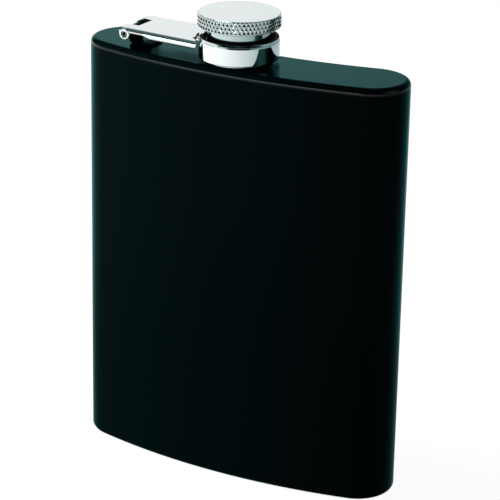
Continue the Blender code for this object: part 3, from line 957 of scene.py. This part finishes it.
# Room that the plated pieces mirror: spans of azimuth, elevations, and soft patches. A patch is given by
# the azimuth and elevation of its middle, and by the angles at which it starts to fade and is gone.
CAMERA_GAP = (-3, 59)
GAP_SOFT = 3
ROOM_SPAN = (-120, 155)
ROOM_TOP = 78
ROOM_SOFT = 8
ROOM_TONE = "#020C0C"
SIDE_TONE = "#7E9494"
CARD_TOP = 5.5
CARD_SOFT = 1.5
CARD_TURN = (20, 60)
RIGHT_TONE = "#86A0A0"
PAPER_PLACE = (222, 14)
PAPER_SPREAD = (8, 28)
SKY_PLACE = (-75, 50)
SKY_SPREAD = (22, 48)
SKY_TONE = "#566262"
LOW_SKY_PLACE = (94, 31)
LOW_SKY_SPREAD = (12, 25)
LOW_SKY_TONE = "#B4C8C8"
VIEWER_PLACE = (28, 24)
VIEWER_SPREAD = (4, 18)
VIEWER_TONE = "#505A5A"
AMBIENT = 0.12

# Floor, in metres: its reach, height and tones, and its painted light in the mirror of the plating: brighter
# to one side, and painted shade near the flask
FLOOR_REACH = 3.0
FLOOR_HEIGHT = -0.0002
FLOOR_GREY = (0.35, 0.35, 0.35, 1)
FLOOR_GLOW = 0.93
FLOOR_BRIGHT = (1.08, 1.08, 1.08, 1.0)
FALL_AZIMUTH = -50
FALL_START = -0.55
FALL_END = 0.38
SHADE_START = 0.08
SHADE_END = 0.25
SHADE_LEAST = 0.45

# Point that the lamps look at, in metres
LAMP_TARGET = (0, 0, 0.07)


def direction(azimuth, elevation):
    """Unit vector towards an azimuth, 0 being -Y and 90 being +X, and an elevation."""
    a = math.radians(azimuth)
    e = math.radians(elevation)
    return Vector((math.sin(a) * math.cos(e), -math.cos(a) * math.cos(e), math.sin(e)))


def add_camera():
    """The camera at the photograph's viewing angle."""
    data = bpy.data.cameras.new("camera")
    data.lens = CAMERA_LENS
    camera = bpy.data.objects.new("camera", data)
    bpy.context.scene.collection.objects.link(camera)
    back = direction(CAMERA_AZIMUTH, CAMERA_ELEVATION)
    right = Vector((0, 0, 1)).cross(back).normalized()
    up = back.cross(right)
    level_axes = Matrix((right, up, back)).transposed()
    roll = Matrix.Rotation(math.radians(CAMERA_ROLL), 3, "Z")
    place = Vector(CAMERA_TARGET) * MM + back * CAMERA_DISTANCE * MM
    camera.matrix_world = Matrix.Translation(place) @ (level_axes @ roll).to_4x4()
    bpy.context.scene.camera = camera


def add_world():
    """White studio for the camera and in reflections, with a dark room round the camera.

    The room is dark above the horizon within CAMERA_GAP, and above the side cards within ROOM_SPAN.
    """
    world = bpy.data.worlds.new("studio")
    world.use_nodes = True
    tree = world.node_tree
    tree.nodes.clear()
    look_at = node(tree, "ShaderNodeTexCoord").outputs["Generated"]
    look = node(tree, "ShaderNodeSeparateXYZ", [(0, look_at)])
    ahead = node(tree, "ShaderNodeMath", [(0, look.outputs["Y"])], operation="MULTIPLY")
    ahead.inputs[1].default_value = -1.0

    def joined(first, second, operation="MULTIPLY"):
        """Product of two values, or what another operation makes of them."""
        return node(tree, "ShaderNodeMath", [(0, first), (1, second)], operation=operation).outputs[0]

    turn = joined(look.outputs["X"], ahead.outputs[0], "ARCTAN2")
    rise = node(tree, "ShaderNodeMath", [(0, look.outputs["Z"])], operation="ARCSINE").outputs[0]

    def ramp(value, first, last, low=0.0, high=1.0):
        """Smooth step of a value in radians between two angles in degrees."""
        made = node(tree, "ShaderNodeMapRange", [("Value", value)], interpolation_type="SMOOTHSTEP",
                    in_From_Min=math.radians(first), in_From_Max=math.radians(last),
                    in_To_Min=low, in_To_Max=high)
        return made.outputs["Result"]

    def mixed(factor, first, second):
        """Blend of two colours, each a socket or an sRGB hex code."""
        made = node(tree, "ShaderNodeMix", [("Factor", factor)], data_type="RGBA")
        for place, colour in ((MIX_FIRST, first), (MIX_SECOND, second)):
            if isinstance(colour, str):
                made.inputs[place].default_value = linear(colour)
            else:
                tree.links.new(colour, made.inputs[place])
        return made.outputs[MIX_RESULT]

    def patch(middle, spread):
        """Soft round patch about an (azimuth, elevation), full within one angle and gone at another."""
        near = node(tree, "ShaderNodeVectorMath", [(0, look_at)], operation="DOT_PRODUCT")
        near.inputs[1].default_value = direction(*middle)
        full, gone = (math.cos(math.radians(angle)) for angle in spread)
        made = node(tree, "ShaderNodeMapRange", [("Value", near.outputs["Value"])],
                    interpolation_type="SMOOTHSTEP", in_From_Min=gone, in_From_Max=full)
        return made.outputs["Result"]

    def between(span, soft):
        """Azimuths between two angles, with soft ends."""
        low, high = span
        return joined(ramp(turn, low - soft, low + soft), ramp(turn, high - soft, high + soft, 1, 0))

    def below(elevation, soft):
        """Directions below an elevation, with a soft edge."""
        return ramp(rise, elevation - soft, elevation + soft, 1, 0)

    span = between(ROOM_SPAN, ROOM_SOFT)
    dark = joined(span, below(ROOM_TOP, ROOM_SOFT))
    card = joined(joined(span, below(CARD_TOP, CARD_SOFT)), between(CAMERA_GAP, GAP_SOFT), "SUBTRACT")
    card = node(tree, "ShaderNodeMath", [(0, card)], operation="MAXIMUM")
    card.inputs[1].default_value = 0.0
    walls = mixed(patch(PAPER_PLACE, PAPER_SPREAD), SIDE_TONE, WHITE)
    ceiling = mixed(patch(SKY_PLACE, SKY_SPREAD), ROOM_TONE, SKY_TONE)
    ceiling = mixed(patch(LOW_SKY_PLACE, LOW_SKY_SPREAD), ceiling, LOW_SKY_TONE)
    ceiling = mixed(patch(VIEWER_PLACE, VIEWER_SPREAD), ceiling, VIEWER_TONE)
    cards = mixed(ramp(turn, *CARD_TURN), WHITE, RIGHT_TONE)
    tone = mixed(card.outputs[0], mixed(dark, walls, ceiling), cards)
    path = node(tree, "ShaderNodeLightPath").outputs
    room = node(tree, "ShaderNodeBackground", [("Color", tone)])
    white = node(tree, "ShaderNodeBackground", in_Color=linear(WHITE))
    dim = node(tree, "ShaderNodeBackground", in_Color=linear(WHITE), in_Strength=AMBIENT)
    shiny = joined(path["Is Glossy Ray"], path["Is Transmission Ray"], "MAXIMUM")
    seen = node(tree, "ShaderNodeMixShader", [(0, shiny), (1, dim.outputs[0]), (2, room.outputs[0])])
    final = node(tree, "ShaderNodeMixShader",
                 [(0, path["Is Camera Ray"]), (1, seen.outputs[0]), (2, white.outputs[0])])
    node(tree, "ShaderNodeOutputWorld", [("Surface", final.outputs[0])])
    bpy.context.scene.world = world


def add_floor():
    """A wide white floor that keeps a trace of the shadow. In the mirror of the plating it glows with painted
    light, brighter to one side, and with painted shade near the flask.
    """
    mesh = bpy.data.meshes.new("floor")
    ends = ((-1, -1), (1, -1), (1, 1), (-1, 1))
    points = [(x * FLOOR_REACH, y * FLOOR_REACH, FLOOR_HEIGHT) for x, y in ends]
    mesh.from_pydata(points, [], [(0, 1, 2, 3)])
    made, tree, shader, place = new_material("white_floor")
    tree.nodes.remove(shader)
    path = node(tree, "ShaderNodeLightPath").outputs
    matt = node(tree, "ShaderNodeBsdfDiffuse", in_Color=FLOOR_GREY)
    along = node(tree, "ShaderNodeVectorMath", [(0, place)], operation="DOT_PRODUCT")
    along.inputs[1].default_value = direction(FALL_AZIMUTH, 0)
    fall = node(tree, "ShaderNodeMapRange", [("Value", along.outputs["Value"])],
                in_From_Min=FALL_START, in_From_Max=FALL_END)
    apart = node(tree, "ShaderNodeVectorMath", [(0, place)], operation="LENGTH")
    shade = node(tree, "ShaderNodeMapRange", [("Value", apart.outputs["Value"])],
                 interpolation_type="SMOOTHSTEP", in_From_Min=SHADE_START, in_From_Max=SHADE_END,
                 in_To_Min=SHADE_LEAST, in_To_Max=1.0)
    tone = node(tree, "ShaderNodeMix", [("Factor", fall.outputs["Result"])], data_type="RGBA")
    tone.inputs[MIX_FIRST].default_value = linear(RIGHT_TONE)
    tone.inputs[MIX_SECOND].default_value = FLOOR_BRIGHT
    # Painted light for glossy rays: brighter to one side, with painted shade near the flask
    mirrored = node(tree, "ShaderNodeEmission",
                    [("Color", tone.outputs[MIX_RESULT]), ("Strength", shade.outputs["Result"])])
    glow = node(tree, "ShaderNodeEmission", in_Strength=FLOOR_GLOW)
    both = node(tree, "ShaderNodeAddShader", [(0, matt.outputs[0]), (1, glow.outputs[0])])
    plain = node(tree, "ShaderNodeMixShader",
                 [(0, path["Is Camera Ray"]), (1, matt.outputs[0]), (2, both.outputs[0])])
    shine = node(tree, "ShaderNodeAddShader", [(0, matt.outputs[0]), (1, mirrored.outputs[0])])
    mix = node(tree, "ShaderNodeMixShader",
               [(0, path["Is Glossy Ray"]), (1, plain.outputs[0]), (2, shine.outputs[0])])
    tree.links.new(mix.outputs[0], tree.nodes["Material Output"].inputs["Surface"])
    mesh.materials.append(made)
    floor = bpy.data.objects.new("floor", mesh)
    bpy.context.scene.collection.objects.link(floor)


def add_lamp(name, azimuth, elevation, distance, width, height, power, glossy, diffuse, tone):
    """A rectangular soft lamp, sized in metres, that looks at the middle of the flask."""
    data = bpy.data.lights.new(name, "AREA")
    data.shape = "RECTANGLE"
    data.size = width
    data.size_y = height
    data.energy = power
    data.color = linear(tone)[:3]
    lamp = bpy.data.objects.new(name, data)
    aim = direction(azimuth, elevation)
    lamp.location = Vector(LAMP_TARGET) + aim * distance
    lamp.rotation_mode = "QUATERNION"
    lamp.rotation_quaternion = aim.to_track_quat("Z", "Y")
    lamp.visible_camera = False
    lamp.visible_glossy = glossy
    lamp.visible_diffuse = diffuse
    bpy.context.scene.collection.objects.link(lamp)


build()
add_camera()
add_world()
add_floor()
add_lamp("raking_key", azimuth=-74, elevation=8, distance=1.2, width=0.5, height=0.5, power=17.0,
         glossy=False, diffuse=True, tone=WHITE)
add_lamp("strip", azimuth=-20, elevation=2, distance=1.0, width=0.95, height=0.05, power=1.1,
         glossy=True, diffuse=False, tone="#D6FFFF")
bpy.context.scene.view_settings.view_transform = "Standard"
